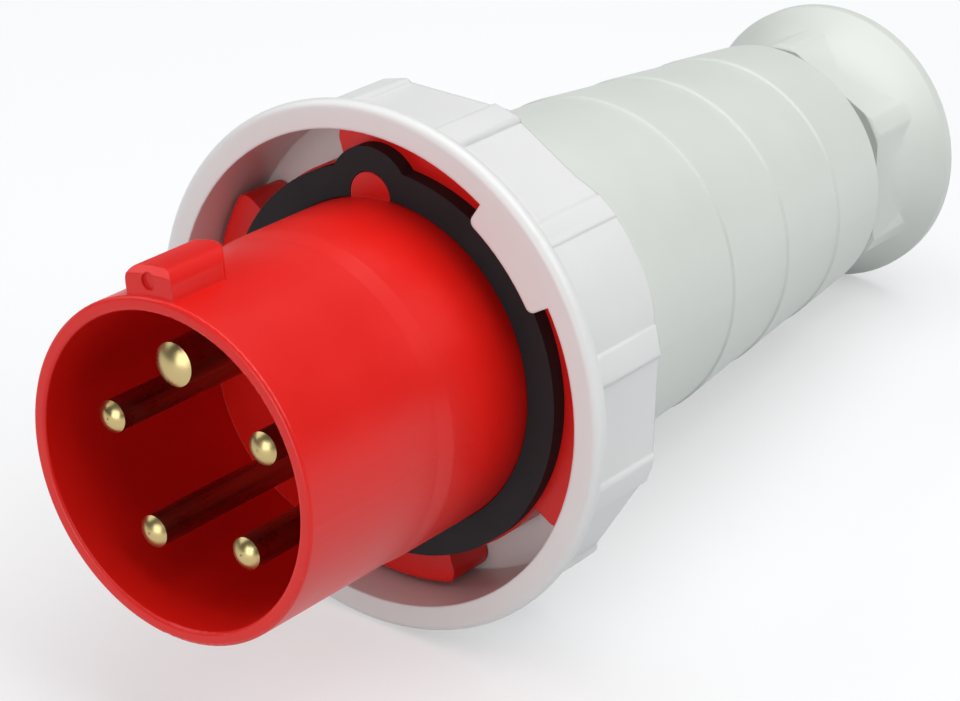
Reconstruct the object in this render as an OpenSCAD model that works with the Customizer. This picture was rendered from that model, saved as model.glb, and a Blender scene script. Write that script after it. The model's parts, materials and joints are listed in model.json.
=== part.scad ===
// Straight cable plug: red sleeve with five brass pins, locking ring, grey handle and cable gland.
// Each piece is drawn about the plug's axis: Z counts back from the sleeve's mouth and -Y is the top.
// The whole plug is then laid on its ring and its gland nut, with its mouth towards -Y.

/* [Sleeve] */
// Outside diameter of the sleeve at its mouth
sleeve_d = 63; // [58:0.5:70]
// Wall of the sleeve
sleeve_wall = 2.6; // [2:0.1:3.4]
// Depth from the mouth to the floor that the pins stand in
cavity_depth = 45; // [40:1:48]
// Thickness of the pin floor
floor_t = 8; // [6:0.5:9]
// Distance from the mouth to the thicker root of the sleeve
root_z = 34; // [28:0.5:35]
// Extra radius of the sleeve's root
root_step = 0.3; // [0.2:0.1:0.8]
// Distance from the mouth to the front of the flange
flange_z = 62.5; // [61:0.5:68]

/* [Key] */
// Turn of the key from the top, clockwise as seen from the front
key_turn = -8; // [-20:1:20]
// Width of the key
key_w = 10.5; // [8:0.5:13]
// Height of the key above the sleeve
key_h = 5; // [3:0.25:6]
// Length of the key
key_len = 16; // [12:0.5:24]
// Distance from the mouth to the front of the key
key_setback = 1; // [0.5:0.25:3]
// Diameter of the dimple in the front of the key
key_dimple_d = 3; // [2:0.2:4]

/* [Flange] */
// Thickness of the flange
flange_t = 10.5; // [8:0.5:13]
// Height of the two wings above the round of the flange
wing_h = 6.6; // [5:0.2:8]
// Angle that each wing covers
wing_angle = 142; // [124:1:146]
// Turn of the first wing's middle from the key
wing_turn = 59; // [54:1:64]
// Width of the tab that rises in line with the key
tab_w = 9; // [7:0.5:11]
// Height of the tab above the sleeve's root
tab_h = 4.8; // [3.5:0.1:5.2]

/* [Face gasket] */
// Thickness of the gasket
gasket_t = 3.2; // [2.5:0.1:4]
// Width of the gasket's band
gasket_w = 5.8; // [5:0.1:6.5]
// Width of the band round the tab
gasket_lobe_w = 4.8; // [3:0.1:5]

/* [Pins] */
// Diameter of the line and neutral pins
pin_d = 6; // [5:0.25:7]
// Diameter of the earth pin
earth_pin_d = 8; // [7:0.25:9]
// Diameter of the circle that the pins stand on
pin_circle_d = 36.4; // [35:0.2:38]
// Distance from the mouth to the tips of the line and neutral pins
pin_setback = 4.3; // [3:0.1:9]
// How much further the earth pin reaches
earth_lead = 1; // [0:0.25:2]
// Height of the domed tips
pin_dome_h = 1.3; // [0.6:0.1:2.4]
// Thickness of the collar behind the pin floor
collar_t = 3; // [2:0.25:4]
// Length of the terminal barrel behind the collar
barrel_len = 24; // [22:0.5:26]
// Wall of the terminal barrel round the wire
barrel_wall = 2.2; // [1.8:0.1:2.6]
// Diameter of the wire hole in a line or neutral barrel
wire_d = 5.2; // [4:0.2:6]
// Diameter of the wire hole in the earth barrel
earth_wire_d = 5.8; // [4.5:0.2:6.5]
// Depth of the wire holes
wire_depth = 16; // [14:0.5:17]
// Diameter of the terminal screws
terminal_screw_d = 4; // [3:0.25:4.5]

/* [Pin retainer] */
// Thickness of the plate behind the collars
plate_t = 4; // [3:0.25:5]
// Thickness of the walls between the terminals
barrier_t = 1.6; // [1.2:0.1:2.2]
// Length of the walls between the terminals
barrier_len = 18; // [14:0.5:20]
// Diameter of the screw in the middle of the plate
plate_screw_d = 4; // [3:0.25:5]

/* [Locking ring] */
// How far the ring reaches in front of the flange
ring_lead = 8.5; // [7:0.25:10]
// Wall of the ring at the middle of a flat
ring_wall = 1.8; // [1.5:0.1:2.6]
// Number of ribs round the ring
rib_count = 12; // [10:2:14]
// Height of a rib above the corner that it stands on
rib_h = 0.9; // [0.6:0.1:1.6]
// Radius of a rib's crest
rib_crest_r = 3.4; // [2.6:0.1:4]
// Height of the two thumb pads above a flat
pad_h = 2.1; // [1.4:0.1:2.4]
// Radial width of the front collar
ring_collar_w = 5.2; // [4.6:0.1:5.6]
// Length of the front collar
ring_collar_len = 3.4; // [2.5:0.1:5]
// Thickness of the ring's rear web
ring_web_t = 3.6; // [2.5:0.1:5]
// Height of the two lugs inside the ring
lug_h = 4.6; // [3.5:0.1:5]
// Thickness of the lugs
lug_t = 4.4; // [3:0.1:4.8]
// Angle that each lug covers
lug_angle = 27; // [20:1:30]
// Turn of the ring to each side of its rest
ring_swing = 25; // [15:1:28]

/* [Neck and spigot] */
// Height of the neck above the sleeve's root
neck_step = 1.2; // [0.6:0.1:2]
// Height of the shoulder that the rear housing seats on
seat_h = 1.4; // [1:0.1:2]
// Wall of the spigot inside the rear housing
spigot_wall = 3.4; // [3:0.1:3.8]
// Length of the spigot
spigot_len = 22; // [20:0.5:26]
// Height of the two turning stops on the neck
stop_h = 1.6; // [1:0.1:2]
// Section diameter of the housing seal
seal_ring_d = 2; // [1.6:0.1:2.2]

/* [Rear housing] */
// Wall of the housing round the spigot
housing_wall = 4.4; // [4:0.1:5.5]
// Wall of the tapered handle
handle_wall = 3.2; // [2.4:0.1:4]
// Distance from the housing's front to the first line round the handle
line_first = 48; // [44:0.5:54]
// Distance between the lines
line_pitch = 22.9; // [20:0.1:26]
// Distance from the last line to the rear
tail_len = 19.6; // [18:0.1:26]
// Height of the ledge at each line
line_h = 0.35; // [0.2:0.05:0.6]
// Outside diameter of the handle at the first line
line_d = 66.8; // [64:0.2:69]
// Outside diameter of the handle at its rear
handle_rear_d = 56; // [54:0.2:60]

/* [Cable gland] */
// Diameter of the cable hole in the rubber seal
cable_d = 20; // [16:0.5:22]
// Thickness of the rubber round the cable
rubber_wall = 5.7; // [5:0.1:6.5]
// Length of the rubber seal
rubber_len = 10; // [8:0.5:11]
// Thickness of the clamping cage's fingers
finger_t = 1.6; // [1.2:0.1:2]
// Number of fingers
finger_count = 8; // [6:1:10]
// Width of the slots between the fingers
finger_gap = 2; // [1.5:0.1:3]
// Thickness of the cage's floor
cage_floor_t = 2; // [1.5:0.1:3]
// Thickness of the slip washer
washer_t = 2; // [1.5:0.1:3]
// Wall of the housing's threaded neck
thread_wall = 3.4; // [2.8:0.1:4]
// Length of the housing's threaded neck
thread_len = 15; // [13:0.25:16]
// Lift of the nut over its whole travel
nut_travel = 6; // [4:0.5:6]

/* [Gland nut] */
// Length of the nut
nut_len = 22.6; // [21:0.2:25]
// Gap between the handle and the nut
nut_gap = 4.2; // [3:0.1:5]
// Wall of the nut at the middle of a flat
nut_wall = 2.9; // [2.4:0.1:3.6]
// Height of the round rim above the nut's corners
rim_h = 3.1; // [2:0.1:4]
// Thickness of the rim
rim_t = 3.2; // [2.4:0.1:4]
// Radius of the flare between the flats and the rim
flare_r = 10.5; // [8:0.5:14]
// Turn of the nut's first corner from the top
nut_turn = -2; // [-30:1:30]

/* [Clearances] */
// Gap round pieces that are fixed together
fit_gap = 0.15; // [0.05:0.05:0.25]
// Gap between pieces that move past each other
play = 0.35; // [0.3:0.05:0.5]
// Gap between the wings and the ring's bore
wing_play = 1.1; // [0.6:0.1:1.6]
// Border of the flange round the gasket
gasket_border = 0.4; // [0.2:0.1:1]

/* [Hidden] */
$fn = 96;

// Turns of the pins from the key, clockwise as seen from the front
pin_step = 72;
neutral_turn = pin_step;
line_turns = [4 * pin_step, 3 * pin_step, 2 * pin_step];

// Radii of the sleeve and of what stands round it, from the inside out
sleeve_r = sleeve_d / 2;
cavity_r = sleeve_r - sleeve_wall;
lip_r = 0.7;
root_r = sleeve_r + root_step;
tab_r = root_r + tab_h;
gasket_in_r = root_r + fit_gap;
gasket_out_r = gasket_in_r + gasket_w;
core_r = gasket_out_r + gasket_border;
wing_r = core_r + wing_h;
ring_bore_r = wing_r + wing_play;
flat_r = ring_bore_r + ring_wall;
corner_r = flat_r / cos(180 / rib_count);
crest_r = corner_r + rib_h;
pad_r = flat_r + pad_h;
ring_collar_r = ring_bore_r + ring_collar_w;
lug_r = ring_bore_r - lug_h;

// Radii of the neck, the spigot and the housing's socket
neck_r = root_r + neck_step;
ring_eye_r = neck_r + play;
stop_r = neck_r + stop_h;
spigot_r = neck_r - seat_h;
spigot_bore_r = spigot_r - spigot_wall;
socket_r = spigot_r + fit_gap;
housing_front_r = socket_r + housing_wall;

// Stations along the axis, from the mouth back
floor_back_z = cavity_depth + floor_t;
plate_z = floor_back_z + collar_t;
plate_back_z = plate_z + plate_t;
barrel_end_z = plate_z + barrel_len;
gasket_z = flange_z - gasket_t;
flange_back_z = flange_z + flange_t;
ring_z = flange_z - ring_lead;
web_z = flange_back_z + play;
ring_back_z = web_z + ring_web_t;
housing_z = ring_back_z + play;
spigot_end_z = housing_z + spigot_len;
line_count = 3;
line_z = [for (k = [0 : line_count - 1]) housing_z + line_first + k * line_pitch];
handle_end_z = line_z[line_count - 1] + tail_len;

// Sizes of the gland, from the cable outwards
cable_r = cable_d / 2;
rubber_r = cable_r + rubber_wall;
gland_bore_r = rubber_r + fit_gap + finger_t + fit_gap;
thread_r = gland_bore_r + thread_wall;
nut_bore_r = thread_r + play;
nut_flat_r = nut_bore_r + nut_wall;
nut_corner_r = nut_flat_r / cos(30);
nut_round = 0.5;
rim_r = nut_corner_r - nut_round + rim_h;
entry_r = cable_r + 2.6;
cage_eye_r = cable_r + 3.6;
thread_end_z = handle_end_z + thread_len;
rubber_end_z = thread_end_z - nut_travel;
rubber_z = rubber_end_z - rubber_len;
cage_z = rubber_z - cage_floor_t;
washer_z = rubber_end_z + play;
pusher_z = washer_z + washer_t + play;
nut_z = handle_end_z + nut_gap;
nut_end_z = nut_z + nut_len;
nut_wall_z = thread_end_z + 1;
rim_z = nut_end_z - rim_t;
flare_foot_r = nut_corner_r - nut_round - 0.2;
ramp_foot_r = nut_flat_r - 0.4;
flare_z = rim_z - sqrt(pow(flare_r, 2) - pow(flare_r - rim_r + flare_foot_r, 2));
ramp_z = flare_z - 2;

// Small roundings, chamfers and ramps
edge = 1.2;
root_ramp = 4;
ring_collar_round = 1.6;
rim_round = 1.1;
nut_chamfer = 0.8;
wing_corner = 3;
lug_corner = 1.4;
end_gap = 1;

// The ring turns so that two ribs stand evenly at the bottom, and its first lug lies on a rib
rib_step = 360 / rib_count;
ring_turn = 1.5 * rib_step;

// The plug rests on those two ribs, at the ring's rear, and on the rim of the nut
rib_low_r = (crest_r - rib_crest_r) * cos(rib_step / 2) + rib_crest_r;
tilt = atan((rib_low_r - rim_r) / (nut_end_z - ring_back_z));
rim_low = (rim_r - rim_round) * cos(tilt) + (nut_end_z - rim_round) * sin(tilt) + rim_round;
rib_low = (rib_low_r - edge) * cos(tilt) + (ring_back_z - edge) * sin(tilt) + edge;
collar_low = (ring_collar_r - ring_collar_round) * cos(tilt) + ring_collar_round
             + (ring_z + ring_collar_len - ring_collar_round) * sin(tilt);
lay_z = max(rim_low, rib_low, collar_low);
front_y = lip_r * cos(tilt) - (sleeve_r - lip_r) * sin(tilt) - lip_r;
rear_y = (rim_r - rim_round) * sin(tilt) + (nut_end_z - rim_round) * cos(tilt) + rim_round;
lay_y = -(front_y + rear_y) / 2;

// Lays what is drawn about the plug's axis down on the floor
module lay() {
    translate([0, lay_y, lay_z])
        rotate([-(90 + tilt), 0, 0])
            children();
}

// Turns what is drawn at the top clockwise round the axis, as seen from the front
module clock(turn) {
    rotate([0, 0, turn])
        children();
}

// Half section of a tube between two radii and two stations
module section(r_in, r_out, z_from, z_to) {
    translate([r_in, z_from])
        square([r_out - r_in, z_to - z_from]);
}

// Tube between two radii and two stations
module tube(r_in, r_out, z_from, z_to) {
    rotate_extrude()
        section(r_in, r_out, z_from, z_to);
}

// Half section of a tube whose outer corners are rounded
module soft_section(r_in, r_out, z_from, z_to, r_edge) {
    section(r_in, r_out - r_edge, z_from, z_to);
    section(r_in, r_out, z_from + r_edge, z_to - r_edge);
    for (z = [z_from + r_edge, z_to - r_edge])
        translate([r_out - r_edge, z])
            circle(r_edge);
}

// Piece of pie at the top, to cut a ring with
module wedge(reach, angle) {
    far = reach / cos(angle / 4);
    polygon([[0, 0], for (k = [-2 : 2]) far * [sin(k * angle / 4), -cos(k * angle / 4)]]);
}

// Sector of a ring at the top
module sector(r_in, r_out, angle) {
    intersection() {
        difference() {
            circle(r_out);
            circle(r_in);
        }
        wedge(r_out + 1, angle);
    }
}

// Sector of a ring at the top, with its two corners at one radius rounded
module soft_sector(r_in, r_out, angle, r_corner, round_outside) {
    centre_r = round_outside ? r_out - r_corner : r_in + r_corner;
    corner_angle = asin(r_corner / centre_r);
    sector(round_outside ? r_in : centre_r, round_outside ? centre_r : r_out, angle);
    sector(r_in, r_out, angle - 2 * corner_angle);
    for (side = [-1, 1])
        clock(side * (angle / 2 - corner_angle))
            translate([0, -centre_r])
                circle(r_corner);
}

// Round-topped tab that stands on the sleeve at the top
module tab(width, top_r) {
    low_r = root_r - root_step - 1;
    translate([0, -(top_r - width / 2)])
        circle(width / 2);
    translate([-width / 2, -(top_r - width / 2)])
        square([width, top_r - width / 2 - low_r]);
}

// Half section of the front moulding: lip, sleeve, pin floor, flange, neck and spigot
module front_section() {
    for (r = [cavity_r + lip_r, sleeve_r - lip_r])
        translate([r, lip_r])
            circle(lip_r);
    section(cavity_r + lip_r, sleeve_r - lip_r, 0, cavity_depth);
    section(cavity_r, sleeve_r, lip_r, cavity_depth);
    polygon([[cavity_r, root_z], [sleeve_r, root_z], [root_r, root_z + root_ramp],
             [root_r, cavity_depth], [cavity_r, cavity_depth]]);
    section(0, root_r, cavity_depth, floor_back_z);
    section(spigot_bore_r, root_r, floor_back_z, flange_z);
    section(spigot_bore_r, core_r, flange_z, flange_back_z);
    section(spigot_bore_r, neck_r, flange_back_z, housing_z);
    difference() {
        section(spigot_bore_r, spigot_r, housing_z, spigot_end_z);
        seal_groove();
    }
}

// Half section of the groove that the housing seal lies in
groove_r = socket_r - seal_ring_d - fit_gap;
groove_z = housing_z + spigot_len / 2;
module seal_groove() {
    section(groove_r, spigot_r + 1, groove_z - seal_ring_d / 2 - fit_gap,
            groove_z + seal_ring_d / 2 + fit_gap);
}

// Key on the sleeve: round shoulders, a lead-in at the front and a round rear end
key_corner = 3;
key_top_r = sleeve_r + key_h;
key_end_z = key_setback + key_len;
key_end_r = key_w / 2 + 0.75;
key_dimple_depth = 0.6;
module key_rib() {
    difference() {
        intersection() {
            translate([0, 0, key_setback])
                linear_extrude(key_len)
                    key_outline();
            rotate_extrude()
                polygon([[0, key_setback], [key_top_r - edge, key_setback],
                         [key_top_r, key_setback + edge], [key_top_r, key_end_z], [0, key_end_z]]);
            rotate([90, 0, 0])
                linear_extrude(key_top_r + 1)
                    key_plan();
        }
        translate([0, -(sleeve_r + key_h / 2), key_setback - 1])
            cylinder(h = key_dimple_depth + 1, d = key_dimple_d);
        cylinder(h = key_end_z, r = sleeve_r - sleeve_wall / 2);
    }
}

// Key as seen from above, with its round rear end
module key_plan() {
    translate([-key_end_r, 0])
        square([2 * key_end_r, key_end_z - key_end_r]);
    translate([0, key_end_z - key_end_r])
        circle(key_end_r);
}

// Section of the key across the axis
module key_outline() {
    low_r = cavity_r;
    for (side = [-1, 1])
        translate([side * (key_w / 2 - key_corner), -(key_top_r - key_corner)])
            circle(key_corner);
    translate([-key_w / 2, -(key_top_r - key_corner)])
        square([key_w, key_top_r - key_corner - low_r]);
    translate([-(key_w / 2 - key_corner), -key_top_r])
        square([key_w - 2 * key_corner, key_corner + 1]);
}

// One of the two wings of the flange, which keep the ring from coming off
module wing() {
    intersection() {
        translate([0, 0, flange_z])
            linear_extrude(flange_t)
                soft_sector(core_r - 1, wing_r, wing_angle, wing_corner, true);
        rotate_extrude()
            soft_section(spigot_bore_r, wing_r, flange_z, flange_back_z, edge);
    }
}

// Angle of a turning stop, and the angle that it needs in the ring's web
stop_angle = 10;
stop_room = stop_angle + 2 * (ring_swing + 2);

// Front moulding: sleeve, key, pin floor, winged flange, neck with turning stops, spigot
module plug_front() {
    color("#d8281f") lay() difference() {
        union() {
            rotate_extrude()
                front_section();
            clock(key_turn) {
                key_rib();
                difference() {
                    translate([0, 0, gasket_z])
                        linear_extrude(gasket_t + 1)
                            tab(tab_w, tab_r);
                    cylinder(h = flange_back_z, r = sleeve_r - sleeve_wall / 2);
                }
                for (side = [0, 180])
                    clock(wing_turn + side)
                        wing();
            }
            for (side = [90, 270])
                clock(ring_turn + side)
                    translate([0, 0, flange_back_z - 1])
                        linear_extrude(housing_z - flange_back_z + 1)
                            sector(neck_r - 1, stop_r, stop_angle);
        }
        clock(key_turn) {
            pin_hole(0, earth_pin_d);
            for (turn = concat(neutral_turn, line_turns))
                pin_hole(turn, pin_d);
        }
        translate([0, 0, floor_back_z - plate_screw_depth])
            cylinder(h = plate_screw_depth + 1, d = plate_screw_d + 2 * fit_gap);
    }
}

// Hole in the pin floor for the thick root of a pin
pin_root_h = 0.4;
module pin_hole(turn, d) {
    clock(turn)
        translate([0, -pin_circle_d / 2, cavity_depth - 1])
            cylinder(h = floor_t + 2, r = d / 2 + pin_root_h + fit_gap / 2);
}

// Outside radius of a terminal barrel and of its collar
collar_h = 1.4;
function barrel_r(wire) = wire / 2 + barrel_wall;

// Turned pin: domed tip, shank, root in the floor, collar and barrel with a wire hole and two screw holes
module pin(turn, d, wire, lead) {
    tip_z = pin_setback - lead;
    dome_r = (pow(d / 2, 2) + pow(pin_dome_h, 2)) / (2 * pin_dome_h);
    clock(key_turn + turn)
        translate([0, -pin_circle_d / 2, 0])
            difference() {
                rotate_extrude() {
                    intersection() {
                        translate([0, tip_z + dome_r])
                            circle(dome_r);
                        section(0, d, tip_z, tip_z + pin_dome_h);
                    }
                    section(0, d / 2, tip_z + pin_dome_h, cavity_depth);
                    section(0, d / 2 + pin_root_h, cavity_depth, floor_back_z);
                    section(0, barrel_r(wire) + collar_h, floor_back_z, plate_z);
                    section(0, barrel_r(wire), plate_z, barrel_end_z);
                }
                translate([0, 0, barrel_end_z - wire_depth])
                    cylinder(h = wire_depth + 1, d = wire);
                for (z = screw_z)
                    translate([0, 0, z])
                        rotate([90, 0, 0])
                            cylinder(h = barrel_r(wire) + 1, d = terminal_screw_d + fit_gap);
            }
}

// Stations of the two screws in each barrel
screw_pitch = 7;
screw_z = [barrel_end_z - 4 - screw_pitch, barrel_end_z - 4];

// Slotted screws of one barrel, backed off from the wire hole
screw_proud = 1.2;
screw_slot_w = 0.8;
screw_slot_depth = 0.9;
module barrel_screws(turn, wire) {
    clock(key_turn + turn)
        translate([0, -pin_circle_d / 2, 0])
            for (z = screw_z)
                translate([0, 0, z])
                    rotate([90, 0, 0])
                        translate([0, 0, wire / 2])
                            slotted_screw(barrel_wall + screw_proud, terminal_screw_d);
}

// Headless screw with a slot across its outer end
module slotted_screw(length, d) {
    difference() {
        cylinder(h = length, d = d);
        translate([-d, -screw_slot_w / 2, length - screw_slot_depth])
            cube([2 * d, screw_slot_w, screw_slot_depth + 1]);
    }
}

module earth_pin() {
    color("#c2a05a") lay() pin(0, earth_pin_d, earth_wire_d, earth_lead);
}

module neutral_pin() {
    color("#c2a05a") lay() pin(neutral_turn, pin_d, wire_d, 0);
}

module line_pin(k) {
    color("#c2a05a") lay() pin(line_turns[k], pin_d, wire_d, 0);
}

module line_terminal_screws() {
    color("#a9abad") lay()
        for (turn = concat(neutral_turn, line_turns))
            barrel_screws(turn, wire_d);
}

module earth_terminal_screws() {
    color("#a9abad") lay() barrel_screws(0, earth_wire_d);
}

// Plate that holds the pins' collars against the floor, with walls between the terminals
barrier_r = spigot_bore_r - 2;
barrier_from_r = plate_screw_d + 3;
module pin_retainer() {
    color("#3a3d41") lay() difference() {
        union() {
            tube(plate_screw_d / 2 + fit_gap, spigot_bore_r - fit_gap, plate_z, plate_back_z);
            clock(key_turn)
                for (k = [0 : 4])
                    clock((k + 0.5) * pin_step)
                        translate([-barrier_t / 2, -barrier_r, plate_back_z - 1])
                            cube([barrier_t, barrier_r - barrier_from_r, barrier_len + 1]);
        }
        clock(key_turn) {
            barrel_hole(0, earth_wire_d);
            for (turn = concat(neutral_turn, line_turns))
                barrel_hole(turn, wire_d);
        }
    }
}

// Hole in the retainer for one terminal barrel
module barrel_hole(turn, wire) {
    clock(turn)
        translate([0, -pin_circle_d / 2, plate_z - 1])
            cylinder(h = plate_t + 2, r = barrel_r(wire) + fit_gap);
}

// Screw that draws the retainer to the pin floor
plate_screw_depth = 5;
plate_screw_head_h = 2.4;
plate_screw_head_w = 1.8;
module retainer_screw() {
    color("#a9abad") lay() difference() {
        rotate_extrude() {
            section(0, plate_screw_d / 2, floor_back_z - plate_screw_depth + end_gap, plate_back_z);
            section(0, plate_screw_d / 2 + plate_screw_head_w, plate_back_z,
                    plate_back_z + plate_screw_head_h);
        }
        translate([-plate_screw_d * 2, -screw_slot_w / 2, plate_back_z + plate_screw_head_h - screw_slot_depth])
            cube([plate_screw_d * 4, screw_slot_w, screw_slot_depth + 1]);
    }
}

// Rubber gasket against the flange, with a lobe round the tab
module face_gasket() {
    color("#25282c") lay() clock(key_turn)
        translate([0, 0, gasket_z])
            linear_extrude(gasket_t)
                difference() {
                    union() {
                        circle(gasket_out_r);
                        tab(tab_w + 2 * gasket_lobe_w, tab_r + gasket_lobe_w);
                    }
                    circle(gasket_in_r);
                    tab(tab_w + 2 * fit_gap, tab_r + fit_gap);
                }
}

// Section of the ring's grip across the axis: flats with a round rib on each corner, and two thumb pads
module grip_outline() {
    for (side = [0, 180])
        clock(ring_turn + rib_step / 2 + side)
            sector(lug_r, pad_r, rib_step);
    clock(rib_step / 2)
        rotate([0, 0, -90])
            circle(corner_r, $fn = rib_count);
    for (k = [0 : rib_count - 1])
        clock((k + 0.5) * rib_step)
            translate([0, -(crest_r - rib_crest_r)])
                circle(rib_crest_r);
}

// Locking ring: round collar, ribbed grip, two lugs and a web that turns on the neck
module locking_ring() {
    color("#e4e7e8") lay() {
        difference() {
            union() {
                rotate_extrude()
                    soft_section(lug_r, ring_collar_r, ring_z, ring_z + ring_collar_len, ring_collar_round);
                intersection() {
                    translate([0, 0, ring_z + edge])
                        linear_extrude(ring_back_z - ring_z - edge)
                            grip_outline();
                    rotate_extrude() {
                        soft_section(0, crest_r, ring_z, ring_back_z, edge);
                        section(0, crest_r, ring_z, ring_back_z - 2 * edge);
                    }
                }
            }
            tube(0, ring_bore_r, ring_z - 1, web_z);
            tube(0, ring_eye_r, web_z - 1, ring_back_z + 1);
            for (side = [90, 270])
                clock(ring_turn + side)
                    translate([0, 0, web_z - 1])
                        linear_extrude(ring_web_t + 2)
                            sector(ring_eye_r - 1, stop_r + play, stop_room);
        }
        for (side = [0, 180])
            clock(ring_turn + side)
                translate([0, 0, ring_z])
                    linear_extrude(lug_t)
                        soft_sector(lug_r, ring_bore_r + 0.5, lug_angle, lug_corner, false);
    }
}

// Handle radius at a line, on a straight taper from the first line to the rear
handle_taper = (handle_rear_d - line_d) / 2 / (handle_end_z - line_z[0]);
function line_r(k) = line_d / 2 + handle_taper * (line_z[k] - line_z[0]);

// Outline of the handle, with a small ledge at each line
function handle_side() = [
    [housing_front_r - edge, housing_z],
    [housing_front_r, housing_z + edge],
    for (k = [0 : line_count - 1]) each [
        [line_r(k) - line_h / 2, line_z[k] - line_h],
        [line_r(k) + line_h / 2, line_z[k]]
    ],
    for (a = [0 : 22.5 : 90])
        [handle_rear_d / 2 - edge + edge * cos(a), handle_end_z - edge + edge * sin(a)]
];

// Radius of the handle's hollow at its rear, and the floor behind it
handle_hollow_r = handle_rear_d / 2 - handle_wall;
hollow_end_z = cage_z - handle_wall;
hollow_z = spigot_end_z + end_gap;
hollow_front_r = min(socket_r - 0.5, housing_front_r - handle_wall - 1);

// Rear housing: socket for the spigot, hollow handle, gland seat and threaded neck
module rear_housing() {
    color("#dadfd8") lay()
        rotate_extrude()
            polygon(concat(
                [[socket_r, housing_z]],
                handle_side(),
                [[thread_r, handle_end_z], [thread_r, thread_end_z - edge], [thread_r - edge, thread_end_z],
                 [gland_bore_r, thread_end_z], [gland_bore_r, cage_z],
                 [cage_eye_r, cage_z], [cage_eye_r, hollow_end_z],
                 [handle_hollow_r, hollow_end_z],
                 [hollow_front_r, hollow_z], [socket_r, hollow_z]]));
}

// Rubber ring in the groove of the spigot
module housing_seal() {
    color("#25282c") lay()
        rotate_extrude()
            translate([groove_r + fit_gap / 2 + seal_ring_d / 2, groove_z])
                circle(d = seal_ring_d);
}

// Cage whose fingers close on the rubber seal
module clamping_cage() {
    cage_r = gland_bore_r - fit_gap;
    color("#c9cec8") lay() difference() {
        rotate_extrude() {
            section(cage_eye_r, cage_r, cage_z, rubber_z);
            section(cage_r - finger_t, cage_r, rubber_z, rubber_end_z);
        }
        for (k = [0 : finger_count - 1])
            clock(k * 360 / finger_count)
                translate([-finger_gap / 2, -cage_r - 1, rubber_z])
                    cube([finger_gap, finger_t + 2, rubber_len + 1]);
    }
}

// Rubber seal with the cable hole
module cable_seal() {
    color("#25282c") lay() tube(cable_r, rubber_r, rubber_z, rubber_end_z);
}

// Washer that the nut turns on and pushes forward
module slip_washer() {
    color("#c9cec8") lay() tube(entry_r, gland_bore_r - play, washer_z, washer_z + washer_t);
}

// Half section of the nut's flare and rim, with a ramp up from the flats
module flare_section() {
    polygon([[0, ramp_z], [ramp_foot_r, ramp_z], [flare_foot_r, flare_z], [0, flare_z]]);
    difference() {
        soft_section(0, rim_r, flare_z, nut_end_z, rim_round);
        translate([flare_foot_r + flare_r, flare_z])
            circle(flare_r);
    }
}

// Half section of the nut's inside: thread pocket round the pusher, and cable entry
module nut_hollow_section() {
    pusher_r = gland_bore_r - play;
    mouth = 2;
    section(0, nut_bore_r, nut_z - 1, pusher_z);
    section(pusher_r, nut_bore_r, pusher_z - 1, nut_wall_z);
    section(0, entry_r, pusher_z - 1, nut_end_z + 1);
    polygon([[0, nut_end_z - mouth], [entry_r, nut_end_z - mouth], [entry_r + mouth, nut_end_z],
             [entry_r + mouth, nut_end_z + 1], [0, nut_end_z + 1]]);
}

// Gland nut: hexagonal neck that flares into a round rim
module gland_nut() {
    color("#dadfd8") lay() difference() {
        union() {
            intersection() {
                translate([0, 0, nut_z])
                    clock(nut_turn)
                        rotate([0, 0, -90])
                            cylinder(h = nut_len - rim_t, r = nut_corner_r, $fn = 6);
                rotate_extrude()
                    polygon([[0, nut_z], [nut_corner_r - nut_round - nut_chamfer, nut_z],
                             [nut_corner_r - nut_round, nut_z + nut_chamfer],
                             [nut_corner_r - nut_round, nut_end_z], [0, nut_end_z]]);
            }
            rotate_extrude()
                flare_section();
        }
        rotate_extrude()
            nut_hollow_section();
    }
}

plug_front();
earth_pin();
neutral_pin();
line_pin(0);  // line_pin_1
line_pin(1);  // line_pin_2
line_pin(2);  // line_pin_3
line_terminal_screws();
earth_terminal_screws();
pin_retainer();
retainer_screw();
face_gasket();
locking_ring();
rear_housing();
housing_seal();
clamping_cage();
cable_seal();
slip_washer();
gland_nut();
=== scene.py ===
"""Looks of a pin and sleeve plug: ring grip, gland nut, gland thread, materials, studio and camera."""
import json
import math

import bpy
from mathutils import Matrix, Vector


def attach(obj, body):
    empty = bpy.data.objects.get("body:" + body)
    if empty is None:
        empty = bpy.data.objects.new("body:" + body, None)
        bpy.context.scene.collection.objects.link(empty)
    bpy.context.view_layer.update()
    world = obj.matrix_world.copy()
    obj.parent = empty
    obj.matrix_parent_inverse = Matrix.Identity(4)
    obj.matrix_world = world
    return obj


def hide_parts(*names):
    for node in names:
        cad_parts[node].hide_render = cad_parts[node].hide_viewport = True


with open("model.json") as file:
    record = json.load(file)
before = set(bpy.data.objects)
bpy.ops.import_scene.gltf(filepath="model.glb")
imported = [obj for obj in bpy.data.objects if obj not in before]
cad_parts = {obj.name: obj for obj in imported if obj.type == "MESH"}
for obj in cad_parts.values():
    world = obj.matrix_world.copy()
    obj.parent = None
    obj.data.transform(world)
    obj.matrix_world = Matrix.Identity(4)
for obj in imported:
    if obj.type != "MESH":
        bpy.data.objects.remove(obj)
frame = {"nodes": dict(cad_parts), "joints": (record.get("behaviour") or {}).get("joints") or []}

bl_info = {
    "name": "Pin and sleeve plug",
    "version": (1, 0, 0),
    "blender": (4, 5, 0),
    "location": "View3D > Sidebar > Plug",
    "description": "Dresses the plug's solids and sets its studio",
    "category": "Object",
}

# The plug's axis, from the joint that the locking ring turns on: it points from the mouth to the gland
RING_JOINT = next(j for j in frame["joints"] if j["name"] == "ring_turn")
AXIS = Vector(RING_JOINT["axis"]).normalized()
AXIS_POINT = Vector(RING_JOINT["pos_m"])
TILT = math.atan2(-AXIS.z, AXIS.y)
MM = 0.001

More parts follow.
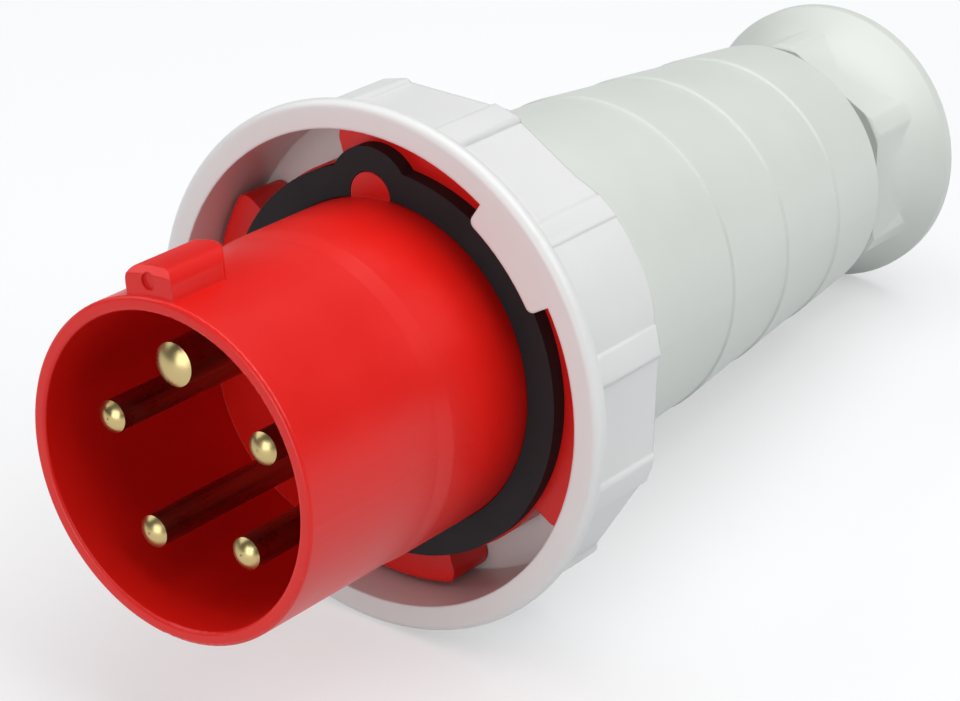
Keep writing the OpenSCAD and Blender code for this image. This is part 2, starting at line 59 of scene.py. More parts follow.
# Ribs of the ring's grip, sides of the nut, and turns clockwise from the top:
# a rib, a lug, a thumb pad past its lug, a nut's corner
RIBS = 12
NUT_SIDES = 6
RIB_TURN = math.radians(15)
LUG_TURN = math.radians(45)
PAD_TURN = math.radians(11)
NUT_TURN = math.radians(-2)
# Sides of a round piece, and steps of a rounded edge, the nut's flare, a rib's edge and a turn of the thread
ROUND = 128
EDGE_STEPS = 6
FLARE_STEPS = 12
RIB_STEPS = 4
THREAD_STEPS = 96
# A cutter reaches this far past what it cuts, two faces keep this far from lying in one plane,
# and points closer than this are one
PAST = 2 * MM
APART = 0.05 * MM
MERGED = 0.001 * MM
# Faces that meet at less than these angles are shaded as one
SMOOTH = math.radians(30)
THREAD_SMOOTH = math.radians(40)

# Most values of a noise texture lie between these
NOISE_LOW, NOISE_HIGH = 0.3, 0.7
# Sizes of the patches in a plastic's colour, a metal's polish and a rubber's bloom, and a rubber's pits
CLOUD = 14 * MM
POLISH = 4 * MM
BLOOM = 9 * MM
PIT = 0.5 * MM
PIT_DEPTH = 0.05 * MM
# How far a metal face looks along the axis, less than zero to the mouth: where the painted shade on its sides
# starts to thin, and where that painted shade is gone
SIDE_SHADE_FULL, SIDE_SHADE_GONE = -0.05, -0.35

SENSOR_MM = 36
# Soft boxes: place in metres, side in metres and watts
LAMPS = {
    "softbox_over": ((0.1, 0.2, 1.3), 1.2, 10.5),
    "softbox_right": ((0.95, 0.1, 1.0), 1.0, 9.5),
    "softbox_front": ((0.1, -1.3, 0.35), 0.8, 6.5),
    "softbox_left": ((-0.95, -0.35, 0.85), 1.0, 5),
}


def linear(code):
    """Linear colour of an sRGB hex value."""
    parts = [int(code[i:i + 2], 16) / 255 for i in (1, 3, 5)]
    return [p / 12.92 if p <= 0.04045 else ((p + 0.055) / 1.055) ** 2.4 for p in parts] + [1.0]


def colour(title, words, code):
    """Colour that a user can change."""
    return bpy.props.FloatVectorProperty(
        name=title, description=words, subtype="COLOR", size=4, min=0, max=1, default=linear(code))


def length(title, words, mm):
    """Length that a user can change, given in millimetres."""
    return bpy.props.FloatProperty(
        name=title, description=words, subtype="DISTANCE", unit="LENGTH", min=0, default=mm * MM)


class PlugFinish(bpy.types.PropertyGroup):
    """Colours of the plug's materials."""

    sleeve: colour("Sleeve", "Red polyamide of the front moulding", "#e4170e")
    ring: colour("Locking ring", "Off-white polyester of the ring", "#e6e6e4")
    handle: colour("Handle", "Light grey polyamide of the handle and the gland nut", "#dce0d9")
    gasket: colour("Gasket", "Black rubber of the gasket and seals", "#1c1c1f")
    brass: colour("Pins", "Turned brass of the pins' tips", "#c4b07c")
    # Painted shade: the darker tone of the pins' sides, where they stand in the sleeve's shade
    pins_painted_side_shade: colour("Tarnish", "Brown skin of the pins' sides", "#948069")
    retainer: colour("Retainer", "Dark grey moulding behind the pins", "#3a3d41")
    inner: colour("Gland pieces", "Plain grey moulding of the cage and the washer", "#c9cec8")
    steel: colour("Screws", "Zinc plated steel of the screws", "#b4b6b8")
    edge: length("Edge", "Radius of the front moulding's edges", 0.35)
    soft_edge: length("Soft edge", "Radius of the edges of the ring, the handle and the nut", 0.7)


class PlugRing(bpy.types.PropertyGroup):
    """Sizes of the locking ring's grip."""

    collar: length("Collar", "Length of the round collar in front of the grip", 3.4)
    flat: length("Flat", "Radius of the grip's flats", 47.6)
    crest: length("Crest", "Radius of the ribs' crests", 49.5)
    root: length("Root", "Depth of the ribs' roots under the flats", 0.8)
    rib: length("Rib", "Width of a rib", 6.4)
    rib_edge: length("Rib edge", "Rounding of a rib's edges", 1.0)
    pad: length("Thumb pad", "Radius of a thumb pad's round", 26.0)
    pad_out: length("Pad centre", "Distance of that round's centre from the axis", 24.75)
    mark: length("Mark", "Height of the lug's mark above its thumb pad", 0.2)
    mark_width: length("Mark width", "Width of that mark", 5.3)
    rear: length("Rear edge", "Rounding of the grip's rear edge", 2.0)


class PlugNut(bpy.types.PropertyGroup):
    """Sizes of the gland nut."""

    flat: length("Flat", "Radius of the hexagon's flats", 24.25)
    corner: length("Corner", "Radius that the hexagon's corners are turned to", 27.0)
    chamfer: length("Chamfer", "Chamfer of the hexagon's front edge", 0.8)
    foot: length("Foot", "Radius of the flare at its foot", 23.85)
    flare: length("Flare", "Radius of the flare's hollow curve", 28.0)
    buried: length("Hexagon end", "Distance of the hexagon's end, inside the flare, from the rim", 3.0)
    rim: length("Rim", "Radius of the rim", 30.6)
    rim_width: length("Rim width", "Length of the rim behind the flare", 3.2)
    rim_edge: length("Rim edge", "Rounding of the rim's rear edge", 1.1)
    bore: length("Bore", "Radius of the threaded bore", 21.35)
    bore_depth: length("Bore depth", "Depth of the threaded bore", 11.8)
    pusher: length("Pusher", "Radius of the tube that pushes the washer", 17.25)
    pusher_depth: length("Pusher depth", "Depth of that tube behind the nut's front", 7.5)
    entry: length("Entry", "Radius of the cable entry", 12.6)
    mouth: length("Mouth", "Chamfer of the cable entry", 2.0)


class PlugThread(bpy.types.PropertyGroup):
    """Sizes of the gland's thread."""

    pitch: length("Pitch", "Distance between the thread's turns", 3.0)
    height: length("Height", "Height of the thread above the neck", 0.28)
    root: length("Root", "Width of the thread at the neck", 1.7)
    crest: length("Crest", "Width of the thread at its crest", 0.8)
    sink: length("Sink", "Depth of the thread's foot in the neck", 0.2)


class PlugStage(bpy.types.PropertyGroup):
    """Studio and camera."""

    floor: colour("Floor", "Pale floor under the plug", "#f4f5f6")
    floor_dim: colour("Floor's light", "What the floor throws back on the plug", "#c4c6c9")
    floor_glow: bpy.props.FloatProperty(
        name="Floor's glow", description="Share of the floor's white that is its own light",
        default=0.44, min=0, max=1)
    air: colour("Air", "Light from all round", "#dce8f8")
    air_strength: bpy.props.FloatProperty(
        name="Air's strength", description="Strength of the light from all round", default=0.1, min=0)
    floor_size: length("Floor size", "Side of the square floor", 16000)
    camera_place: bpy.props.FloatVectorProperty(
        name="Camera place", description="Where the camera stands", subtype="TRANSLATION",
        default=(0.30941, -0.41075, 0.32832))
    camera_turn: bpy.props.FloatVectorProperty(
        name="Camera turn", description="How the camera is turned", subtype="EULER",
        default=[math.radians(a) for a in (59.8145, 2.672, 36.9121)])
    lens: bpy.props.FloatProperty(
        name="Lens", description="Focal length on a 36 mm wide sensor, in millimetres", default=112.68, min=1)


def put(tree, kind, values=None, links=None, **settings):
    """Adds a node, with its settings, its sockets' values and the outputs that feed them."""
    node = tree.nodes.new(kind)
    for name, value in settings.items():
        setattr(node, name, value)
    for socket, value in (values or {}).items():
        node.inputs[socket].default_value = value
    for socket, source in (links or {}).items():
        tree.links.new(source, node.inputs[socket])
    return node


def new_material(name):
    """Empty node material and its tree."""
    material = bpy.data.materials.new(name)
    material.use_nodes = True
    material.node_tree.nodes.clear()
    return material, material.node_tree


def wear(nodes, material):
    """Gives a material to whole CAD nodes."""
    for name in nodes:
        mesh = frame["nodes"][name].data
        mesh.materials.clear()
        mesh.materials.append(material)


def moulded(name, tone, roughness, grain_mm, grain_depth_mm, shade, edge, shine=0.5):
    """Moulded plastic: a fine mould grain, a slight cloudiness of colour and gloss, and softened edges."""
    material, tree = new_material(name)
    place = put(tree, "ShaderNodeTexCoord")
    grain = put(tree, "ShaderNodeTexNoise", {"Scale": 1 / (grain_mm * MM), "Detail": 2.0},
                {"Vector": place.outputs["Object"]})
    cloud = put(tree, "ShaderNodeTexNoise", {"Scale": 1 / CLOUD, "Detail": 3.0},
                {"Vector": place.outputs["Object"]})
    tint = put(tree, "ShaderNodeMapRange",
               {"From Min": NOISE_LOW, "From Max": NOISE_HIGH, "To Min": shade, "To Max": 1.0},
               {"Value": cloud.outputs["Fac"]})
    body = put(tree, "ShaderNodeMix", {"Factor": 1.0, "A": tone}, {"B": tint.outputs["Result"]},
               data_type="RGBA", blend_type="MULTIPLY")
    gloss = put(tree, "ShaderNodeMapRange",
                {"From Min": NOISE_LOW, "From Max": NOISE_HIGH,
                 "To Min": roughness - 0.03, "To Max": roughness + 0.03},
                {"Value": cloud.outputs["Fac"]})
    soft = put(tree, "ShaderNodeBevel", {"Radius": edge}, samples=6)
    bump = put(tree, "ShaderNodeBump", {"Strength": 0.35, "Distance": grain_depth_mm * MM},
               {"Height": grain.outputs["Fac"], "Normal": soft.outputs["Normal"]})
    shader = put(tree, "ShaderNodeBsdfPrincipled", {"IOR": 1.53, "Specular IOR Level": shine},
                 {"Base Color": body.outputs["Result"], "Roughness": gloss.outputs["Result"],
                  "Normal": bump.outputs["Normal"]})
    put(tree, "ShaderNodeOutputMaterial", None, {"Surface": shader.outputs["BSDF"]})
    return material


def turned_metal(name, tone, roughness, mark_mm, mark_depth_mm, side_shade_tone):
    """Turned metal: fine tool marks round the axis, an uneven polish, and painted shade on the sides."""
    material, tree = new_material(name)
    place = put(tree, "ShaderNodeTexCoord")
    along = put(tree, "ShaderNodeMapping", {"Rotation": (TILT, 0, 0)}, {"Vector": place.outputs["Object"]})
    # A band texture repeats every 2 pi / 20 of its scaled coordinate
    marks = put(tree, "ShaderNodeTexWave",
                {"Scale": 2 * math.pi / 20 / (mark_mm * MM), "Distortion": 0.6, "Detail": 1.0},
                {"Vector": along.outputs["Vector"]}, wave_type="BANDS", bands_direction="Y")
    cloud = put(tree, "ShaderNodeTexNoise", {"Scale": 1 / POLISH, "Detail": 4.0},
                {"Vector": place.outputs["Object"]})
    gloss = put(tree, "ShaderNodeMapRange",
                {"From Min": NOISE_LOW, "From Max": NOISE_HIGH,
                 "To Min": roughness - 0.06, "To Max": roughness + 0.08},
                {"Value": cloud.outputs["Fac"]})
    bump = put(tree, "ShaderNodeBump", {"Strength": 0.3, "Distance": mark_depth_mm * MM},
               {"Height": marks.outputs["Fac"]})
    # Painted shade: faces that turn away from the mouth get the darker side tone, and the ends that face the
    # mouth keep the plain tone
    facing = put(tree, "ShaderNodeVectorMath", {1: AXIS}, {0: place.outputs["Normal"]},
                 operation="DOT_PRODUCT")
    unshaded = put(tree, "ShaderNodeMapRange", {"From Min": SIDE_SHADE_FULL, "From Max": SIDE_SHADE_GONE},
                 {"Value": facing.outputs["Value"]})
    skin = put(tree, "ShaderNodeMix", {"A": side_shade_tone, "B": tone}, {"Factor": unshaded.outputs["Result"]},
               data_type="RGBA")
    shader = put(tree, "ShaderNodeBsdfPrincipled", {"Metallic": 1.0},
                 {"Base Color": skin.outputs["Result"], "Roughness": gloss.outputs["Result"],
                  "Normal": bump.outputs["Normal"]})
    put(tree, "ShaderNodeOutputMaterial", None, {"Surface": shader.outputs["BSDF"]})
    return material


def rubber(name, tone):
    """Moulded rubber: matt, with a dusty bloom in patches and a fine pitted skin."""
    material, tree = new_material(name)
    place = put(tree, "ShaderNodeTexCoord")
    # Real pits are about a tenth of a millimetre, drawn coarser so that they show
    pits = put(tree, "ShaderNodeTexNoise", {"Scale": 1 / PIT, "Detail": 3.0},
               {"Vector": place.outputs["Object"]})
    bloom = put(tree, "ShaderNodeTexNoise", {"Scale": 1 / BLOOM, "Detail": 3.0},
                {"Vector": place.outputs["Object"]})
    tint = put(tree, "ShaderNodeMapRange",
               {"From Min": 0.3, "From Max": 0.75, "To Min": 0.85, "To Max": 1.25},
               {"Value": bloom.outputs["Fac"]})
    body = put(tree, "ShaderNodeMix", {"Factor": 1.0, "A": tone}, {"B": tint.outputs["Result"]},
               data_type="RGBA", blend_type="MULTIPLY")
    bump = put(tree, "ShaderNodeBump", {"Strength": 0.3, "Distance": PIT_DEPTH},
               {"Height": pits.outputs["Fac"]})
    shader = put(tree, "ShaderNodeBsdfPrincipled",
                 {"Roughness": 0.7, "IOR": 1.52, "Specular IOR Level": 0.35},
                 {"Base Color": body.outputs["Result"], "Normal": bump.outputs["Normal"]})
    put(tree, "ShaderNodeOutputMaterial", None, {"Surface": shader.outputs["BSDF"]})
    return material


def station(point):
    """Distance of a point along the axis, from the ring's joint towards the gland."""
    return (Vector(point) - AXIS_POINT).dot(AXIS)


def axis_at(distance):
    """Point of the axis at a station."""
    return AXIS_POINT + AXIS * distance


def neck_size():
    """Radius and ends of the housing's threaded neck, read from its solid: the rear stretch of its outside."""
    tail_length = 4 * MM
    rows = []
    for vertex in frame["nodes"]["rear_housing"].data.vertices:
        along = station(vertex.co)
        rows.append((along, (vertex.co - axis_at(along)).length))
    rear = max(along for along, _ in rows)
    tail = [(along, radius) for along, radius in rows if along > rear - tail_length]
    neck_r = max(radius for _, radius in tail)
    ring = [along for along, radius in rows if abs(radius - neck_r) < APART]
    return neck_r, min(ring), max(ring)


def pick(*pieces):
    """Selects these pieces alone."""
    bpy.ops.object.select_all(action="DESELECT")
    for piece in pieces:
        piece.select_set(True)
    bpy.context.view_layer.objects.active = pieces[0]


def fix(piece):
    """Applies a piece's place, turn and size."""
    pick(piece)
    bpy.ops.object.transform_apply(location=True, rotation=True, scale=True)
    return piece


def lay(piece, at):
    """Lays a piece that was made along Z on the plug's axis, with its zero at a station."""
    piece.rotation_euler.x = -math.pi / 2 - TILT
    piece.location = axis_at(at)
    return fix(piece)


def carve(piece, tool, operation):
    """Joins a tool to a piece, cuts it away or keeps what both hold, and removes the tool."""
    pick(piece)
    step = piece.modifiers.new("carve", "BOOLEAN")
    step.operation = operation
    step.solver = "EXACT"
    step.object = tool
    bpy.ops.object.modifier_apply(modifier=step.name)
    bpy.data.objects.remove(tool)
    if not piece.data.polygons:
        raise RuntimeError(f"nothing is left of {piece.name}")
    return piece


def prism(sides, radius, start, end, centre=0.0, turn=0.0):
    """Prism along Z between two heights, with a corner at the top unless it is turned."""
    bpy.ops.object.select_all(action="DESELECT")
    bpy.ops.mesh.primitive_cylinder_add(vertices=sides, radius=radius, depth=end - start,
                                        location=(0, -centre, (start + end) / 2), rotation=(0, 0, turn))
    return fix(bpy.context.object)


def turned(profile):
    """Closed round piece along Z, extruded ring by ring through pairs of height and radius."""
    (height, radius), *rings = profile
    bpy.ops.object.select_all(action="DESELECT")
    bpy.ops.mesh.primitive_circle_add(vertices=ROUND, radius=radius, fill_type="NGON", location=(0, 0, height))
    piece = fix(bpy.context.object)
    bpy.ops.object.mode_set(mode="EDIT")
    bpy.ops.mesh.select_all(action="SELECT")
    for next_height, next_radius in rings:
        bpy.ops.mesh.extrude_region_move(TRANSFORM_OT_translate={"value": (0, 0, next_height - height)})
        grow = next_radius / radius
        bpy.ops.transform.resize(value=(grow, grow, 1), center_override=(0, 0, next_height))
        height, radius = next_height, next_radius
    bpy.ops.mesh.select_all(action="SELECT")
    bpy.ops.mesh.normals_make_consistent(inside=False)
    bpy.ops.object.mode_set(mode="OBJECT")
    return piece


def rounded_end(end, radius, edge):
    """Rings of a rounded rear edge, from the side to the end."""
    angles = [math.pi / 2 * k / EDGE_STEPS for k in range(EDGE_STEPS + 1)]
    return [(end - edge + edge * math.sin(a), radius - edge + edge * math.cos(a)) for a in angles]


def bar(width, top, foot, start, end, edge):
    """Straight bar along Z at the top of a ring, from a foot's radius to a crest's, with a rounded crest."""
    bpy.ops.object.select_all(action="DESELECT")
    middle = (top + foot) / 2
    bpy.ops.mesh.primitive_cube_add(size=1, location=(0, -middle, (start + end) / 2),
                                    scale=(width, top - foot, end - start))
    piece = fix(bpy.context.object)
    if edge:
        crest = {vertex.index for vertex in piece.data.vertices if vertex.co.y < -middle}
        for vertex in piece.data.vertices:
            vertex.select = vertex.index in crest
        for part in (*piece.data.edges, *piece.data.polygons):
            part.select = crest.issuperset(part.vertices)
        bpy.ops.object.mode_set(mode="EDIT")
        bpy.ops.mesh.bevel(offset=edge, segments=RIB_STEPS, affect="EDGES")
        bpy.ops.object.mode_set(mode="OBJECT")
    return piece


def spread(piece, turns):
    """Copies a piece to each turn about Z and joins the copies."""
    copies = []
    for turn in turns:
        copy = bpy.data.objects.new(piece.name, piece.data.copy())
        bpy.context.scene.collection.objects.link(copy)
        copy.rotation_euler.z = turn
        copies.append(fix(copy))
    bpy.data.objects.remove(piece)
    pick(*copies)
    bpy.ops.object.join()
    return bpy.context.object


def merged_copy(node, name):
    """New piece from a CAD node's mesh, with its loose triangles merged."""
    piece = bpy.data.objects.new(name, frame["nodes"][node].data.copy())
    bpy.context.scene.collection.objects.link(piece)
    pick(piece)
    bpy.ops.mesh.customdata_custom_splitnormals_clear()
    bpy.ops.object.mode_set(mode="EDIT")
    bpy.ops.mesh.select_all(action="SELECT")
    bpy.ops.mesh.remove_doubles(threshold=MERGED)
    bpy.ops.object.mode_set(mode="OBJECT")
    return piece


def ends(node):
    """First and last station of a CAD node."""
    along = [station(vertex.co) for vertex in frame["nodes"][node].data.vertices]
    return min(along), max(along)


def finish_piece(piece, node, body):
    """Smooths a piece, gives it the finish of the CAD node that it replaces and lets it ride."""
    pick(piece)
    bpy.ops.object.shade_smooth_by_angle(angle=SMOOTH)
    piece.data.materials.clear()
    piece.data.materials.append(frame["nodes"][node].data.materials[0])
    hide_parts(node)
    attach(piece, body)


class PLUG_OT_front(bpy.types.Operator):
    """Gives the front moulding its glossy red polyamide"""

    bl_idname = "plug.front"
    bl_label = "Front moulding"

    def execute(self, context):
        finish = context.scene.plug_finish
        # Polished mould, so the red skin mirrors the lamps softly
        wear(["plug_front"],
             moulded("red_polyamide", finish.sleeve, roughness=0.36, grain_mm=1.1, grain_depth_mm=0.012,
                     shade=0.95, edge=finish.edge, shine=0.4))
        return {"FINISHED"}


class PLUG_OT_ring(bpy.types.Operator):
    """Gives the locking ring its off-white polyester"""

    bl_idname = "plug.ring"
    bl_label = "Locking ring"

    def execute(self, context):
        finish = context.scene.plug_finish
        # Satin mould, whiter and a little glossier than the handle
        wear(["locking_ring"],
             moulded("white_polyester", finish.ring, roughness=0.36, grain_mm=0.7, grain_depth_mm=0.010,
                     shade=0.98, edge=finish.soft_edge))
        return {"FINISHED"}


class PLUG_OT_handle(bpy.types.Operator):
    """Gives the handle and the gland nut their light grey polyamide"""

    bl_idname = "plug.handle"
    bl_label = "Handle and gland nut"

    def execute(self, context):
        finish = context.scene.plug_finish
        # Spark-eroded mould: a fine even grain that keeps the highlights broad
        wear(["rear_housing", "gland_nut"],
             moulded("grey_polyamide", finish.handle, roughness=0.42, grain_mm=0.55, grain_depth_mm=0.016,
                     shade=0.975, edge=finish.soft_edge))
        return {"FINISHED"}


class PLUG_OT_rubber(bpy.types.Operator):
    """Gives the gasket and the seals their black rubber"""

    bl_idname = "plug.rubber"
    bl_label = "Gasket and seals"

    def execute(self, context):
        finish = context.scene.plug_finish
        wear(["face_gasket", "housing_seal", "cable_seal"], rubber("black_rubber", finish.gasket))
        return {"FINISHED"}


class PLUG_OT_pins(bpy.types.Operator):
    """Gives the pins their turned brass and the screws their plated steel"""

    bl_idname = "plug.pins"
    bl_label = "Pins and screws"

    def execute(self, context):
        finish = context.scene.plug_finish
        # Bar-turned and tumbled: satin, with tool marks about a third of a millimetre apart, and painted shade
        # on the pins' sides
        wear(["earth_pin", "neutral_pin", "line_pin_1", "line_pin_2", "line_pin_3"],
             turned_metal("turned_brass", finish.brass, roughness=0.3, mark_mm=0.34, mark_depth_mm=0.006,
                          side_shade_tone=finish.pins_painted_side_shade))
        wear(["line_terminal_screws", "earth_terminal_screws", "retainer_screw"],
             turned_metal("zinc_plated_steel", finish.steel, roughness=0.34, mark_mm=0.5, mark_depth_mm=0.006,
                          side_shade_tone=finish.steel))
        return {"FINISHED"}


class PLUG_OT_inner(bpy.types.Operator):
    """Gives the hidden mouldings their plain plastics"""

    bl_idname = "plug.inner"
    bl_label = "Inner mouldings"

    def execute(self, context):
        finish = context.scene.plug_finish
        wear(["pin_retainer"],
             moulded("dark_polyamide", finish.retainer, roughness=0.5, grain_mm=0.6, grain_depth_mm=0.012,
                     shade=0.93, edge=finish.edge))
        wear(["clamping_cage", "slip_washer"],
             moulded("plain_polyamide", finish.inner, roughness=0.46, grain_mm=0.6, grain_depth_mm=0.012,
                     shade=0.96, edge=finish.edge))
        return {"FINISHED"}


class PLUG_OT_grip(bpy.types.Operator):
    """Shapes the locking ring's grip: flats, low ribs and two marked thumb pads"""

    bl_idname = "plug.grip"
    bl_label = "Ring grip"

    def execute(self, context):
        size = context.scene.plug_ring
        first, last = ends("locking_ring")
        end = last - first
        ring = merged_copy("locking_ring", "ring_shell")
        # All that stands out of the twelve flats behind the collar goes
        wide = 1.2 * size.crest
        outside = prism(ROUND, wide, size.collar - APART, end + PAST)
        flats = prism(RIBS, size.flat / math.cos(math.pi / RIBS), 0, end + 2 * PAST, turn=RIB_TURN)
        carve(ring, lay(carve(outside, flats, "DIFFERENCE"), first), "DIFFERENCE")
        # Ribs, pads and marks are rooted in the ring's wall and start inside its collar
        foot = size.flat - size.root
        start = size.collar - MM
        rib = bar(size.rib, size.crest, foot, start - size.rib_edge, end - APART, size.rib_edge)
        grip = spread(rib, [RIB_TURN + k * 2 * math.pi / RIBS for k in range(RIBS)])
        pad_turns = [LUG_TURN + PAD_TURN, LUG_TURN + PAD_TURN + math.pi]
        pad = prism(ROUND, size.pad, start, end + PAST, centre=size.pad_out)
        carve(pad, prism(ROUND, foot - 4 * APART, 0, end + 2 * PAST), "DIFFERENCE")
        carve(grip, spread(pad, pad_turns), "UNION")
        # The mark lies over the lug, and square to the pad's round there
        mark = bar(size.mark_width, size.pad + size.mark, size.pad - PAST, start - PAST, end + PAST,
                   2 * size.mark)
        mark.rotation_euler.z = -PAD_TURN - math.asin(size.pad_out * math.sin(PAD_TURN) / size.pad)
        mark.location.y = -size.pad_out
        carve(grip, spread(fix(mark), pad_turns), "UNION")
        # A round just wider than the pads rounds all their rear edges
        round_r = size.pad + size.pad_out + 2 * size.mark
        rear = turned([(MM, round_r)] + rounded_end(end - APART, round_r, size.rear))
        carve(ring, lay(carve(grip, rear, "INTERSECT"), first), "UNION")
        finish_piece(ring, "locking_ring", "ring")
        return {"FINISHED"}


class PLUG_OT_nut(bpy.types.Operator):
    """Shapes the gland nut: a hexagon that a hollow flare carries out to the round rim"""

    bl_idname = "plug.nut"
    bl_label = "Gland nut"

    def execute(self, context):
        size = context.scene.plug_nut
        first, last = ends("gland_nut")
        end = last - first
        rim_at = end - size.rim_width
        # The flare's curve leaves its foot along the axis and meets the rim's edge
        rise = size.rim - size.foot
        reach = math.sqrt(size.flare ** 2 - (size.flare - rise) ** 2)
        curve = []
        for k in range(FLARE_STEPS + 1):
            along = reach * k / FLARE_STEPS
            curve.append((rim_at - reach + along,
                          size.foot + size.flare - math.sqrt(size.flare ** 2 - along ** 2)))
        across = size.flat / math.cos(math.pi / NUT_SIDES)
        nut = prism(NUT_SIDES, across, -PAST, rim_at - size.buried, turn=NUT_TURN)
        nut.name = "nut_shell"
        corners = turned([(0, size.corner - size.chamfer), (size.chamfer, size.corner), (rim_at, size.corner)])
        carve(nut, corners, "INTERSECT")
        carve(nut, turned(curve + rounded_end(end, size.rim, size.rim_edge)), "UNION")
        hollow = turned([(-PAST, size.bore), (size.bore_depth, size.bore), (size.bore_depth, size.pusher),
                         (size.pusher_depth, size.pusher), (size.pusher_depth, size.entry),
                         (end - size.mouth, size.entry), (end, size.entry + size.mouth),
                         (end + PAST, size.entry + size.mouth + PAST)])
        carve(nut, hollow, "DIFFERENCE")
        finish_piece(lay(nut, first), "gland_nut", "nut")
        return {"FINISHED"}


class PLUG_OT_thread(bpy.types.Operator):
    """Winds the thread round the housing's neck"""

    bl_idname = "plug.thread"
    bl_label = "Gland thread"

    def execute(self, context):
        size = context.scene.plug_thread
        neck_r, neck_from, neck_to = neck_size()
        turns = int((neck_to - neck_from - size.root) / size.pitch)
        # The section stands beside the axis: as wide as the root, and sunk a little into the neck
        depth = size.height + size.sink
        bpy.ops.object.select_all(action="DESELECT")
        bpy.ops.mesh.primitive_plane_add(size=1, location=(neck_r - size.sink + depth / 2, 0, size.root / 2),
                                         rotation=(math.pi / 2, 0, 0))
        thread = context.object
        thread.name = "gland_thread"
        thread.scale = (depth, size.root, 1)
        fix(thread)
        for vertex in thread.data.vertices:
            vertex.select = vertex.co.x > neck_r
        bpy.ops.object.mode_set(mode="EDIT")
        bpy.ops.transform.resize(value=(1, 1, size.crest / size.root), center_override=(0, 0, size.root / 2))
        bpy.ops.object.mode_set(mode="OBJECT")
        winding = thread.modifiers.new("winding", "SCREW")
        winding.screw_offset = size.pitch
        winding.iterations = turns
        winding.steps = winding.render_steps = THREAD_STEPS
        bpy.ops.object.modifier_apply(modifier=winding.name)
        bpy.ops.object.mode_set(mode="EDIT")
        bpy.ops.mesh.select_all(action="SELECT")
        bpy.ops.mesh.remove_doubles(threshold=MERGED)
        # The two ends are as four-sided as the section
        bpy.ops.mesh.fill_holes(sides=4)
        bpy.ops.mesh.select_all(action="SELECT")
        bpy.ops.mesh.normals_make_consistent(inside=False)
        bpy.ops.object.mode_set(mode="OBJECT")
        lay(thread, neck_from)
        bpy.ops.object.shade_smooth_by_angle(angle=THREAD_SMOOTH)
        thread.data.materials.append(frame["nodes"]["rear_housing"].data.materials[0])
        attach(thread, "plug")
        return {"FINISHED"}


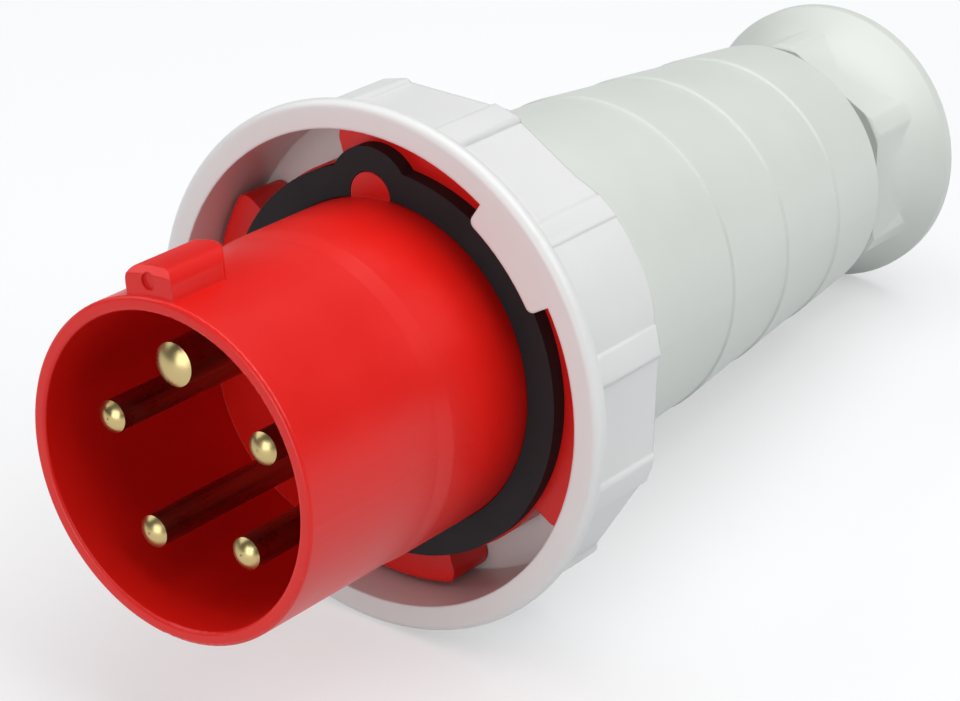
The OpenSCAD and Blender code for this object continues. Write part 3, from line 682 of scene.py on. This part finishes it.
class PLUG_OT_stage(bpy.types.Operator):
    """Sets the floor, the lamps, the background and the camera"""

    bl_idname = "plug.stage"
    bl_label = "Studio and camera"

    def execute(self, context):
        stage = context.scene.plug_stage
        bpy.ops.object.select_all(action="DESELECT")
        bpy.ops.mesh.primitive_plane_add(size=stage.floor_size, location=(0, 0, 0))
        floor = context.object
        floor.name = "floor"
        floor.data.materials.append(self.paper(stage))
        for name, (place, side, watts) in LAMPS.items():
            self.softbox(name, place, side, watts)
        world = bpy.data.worlds.new("studio")
        context.scene.world = world
        world.use_nodes = True
        tree = world.node_tree
        tree.nodes.clear()
        air = put(tree, "ShaderNodeBackground", {"Color": stage.air, "Strength": stage.air_strength})
        put(tree, "ShaderNodeOutputWorld", None, {"Surface": air.outputs[0]})
        camera = bpy.data.objects.new("camera", bpy.data.cameras.new("camera"))
        context.scene.collection.objects.link(camera)
        camera.location = stage.camera_place
        camera.rotation_euler = stage.camera_turn
        camera.data.sensor_fit = "HORIZONTAL"
        camera.data.sensor_width = SENSOR_MM
        camera.data.lens = stage.lens
        camera.data.clip_start = 10 * MM
        context.scene.camera = camera
        context.scene.view_settings.view_transform = "Standard"
        return {"FINISHED"}

    def softbox(self, name, place, side, watts):
        """Square lamp that looks at the middle of the plug."""
        data = bpy.data.lights.new(name, "AREA")
        data.shape = "SQUARE"
        data.size = side
        data.energy = watts
        lamp = bpy.data.objects.new(name, data)
        bpy.context.scene.collection.objects.link(lamp)
        lamp.location = place
        lamp.rotation_euler = (axis_at(0) - Vector(place)).to_track_quat("-Z", "Y").to_euler()

    def paper(self, stage):
        """Pale paper that keeps the shadow: lit from behind where it is seen or mirrored, greyer elsewhere."""
        material, tree = new_material("floor_paper")
        rays = put(tree, "ShaderNodeLightPath")
        matt = put(tree, "ShaderNodeBsdfDiffuse", {"Color": stage.floor})
        dim = put(tree, "ShaderNodeBsdfDiffuse", {"Color": stage.floor_dim})
        glow = put(tree, "ShaderNodeEmission", {"Color": linear("#ffffff"), "Strength": 1.0})
        bright = put(tree, "ShaderNodeMixShader", {"Fac": stage.floor_glow},
                     {1: matt.outputs[0], 2: glow.outputs[0]})
        bent = put(tree, "ShaderNodeMath", None,
                   {0: rays.outputs["Is Glossy Ray"], 1: rays.outputs["Is Transmission Ray"]},
                   operation="MAXIMUM")
        seen = put(tree, "ShaderNodeMath", None, {0: rays.outputs["Is Camera Ray"], 1: bent.outputs[0]},
                   operation="MAXIMUM")
        shown = put(tree, "ShaderNodeMixShader", None,
                    {"Fac": seen.outputs[0], 1: dim.outputs[0], 2: bright.outputs[0]})
        put(tree, "ShaderNodeOutputMaterial", None, {"Surface": shown.outputs[0]})
        return material


class PLUG_PT_panel(bpy.types.Panel):
    """Lists the plug's steps"""

    bl_idname = "PLUG_PT_panel"
    bl_label = "Plug"
    bl_space_type = "VIEW_3D"
    bl_region_type = "UI"
    bl_category = "Plug"

    def draw(self, context):
        for step in STEPS:
            self.layout.operator(step.bl_idname)


STEPS = (PLUG_OT_front, PLUG_OT_ring, PLUG_OT_handle, PLUG_OT_rubber, PLUG_OT_pins, PLUG_OT_inner,
         PLUG_OT_grip, PLUG_OT_nut, PLUG_OT_thread, PLUG_OT_stage)
GROUPS = {"plug_finish": PlugFinish, "plug_ring": PlugRing, "plug_nut": PlugNut, "plug_thread": PlugThread,
          "plug_stage": PlugStage}


def register():
    """Adds the classes, and their settings to the scene."""
    for cls in (*GROUPS.values(), *STEPS, PLUG_PT_panel):
        bpy.utils.register_class(cls)
    for name, group in GROUPS.items():
        setattr(bpy.types.Scene, name, bpy.props.PointerProperty(type=group))


def unregister():
    """Takes them out again."""
    for name in GROUPS:
        delattr(bpy.types.Scene, name)
    for cls in reversed((*GROUPS.values(), *STEPS, PLUG_PT_panel)):
        bpy.utils.unregister_class(cls)


def main():
    """Dresses the plug step by step."""
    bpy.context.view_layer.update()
    register()
    for step in STEPS:
        group, name = step.bl_idname.split(".")
        getattr(getattr(bpy.ops, group), name)()


if __name__ == "__main__":
    main()
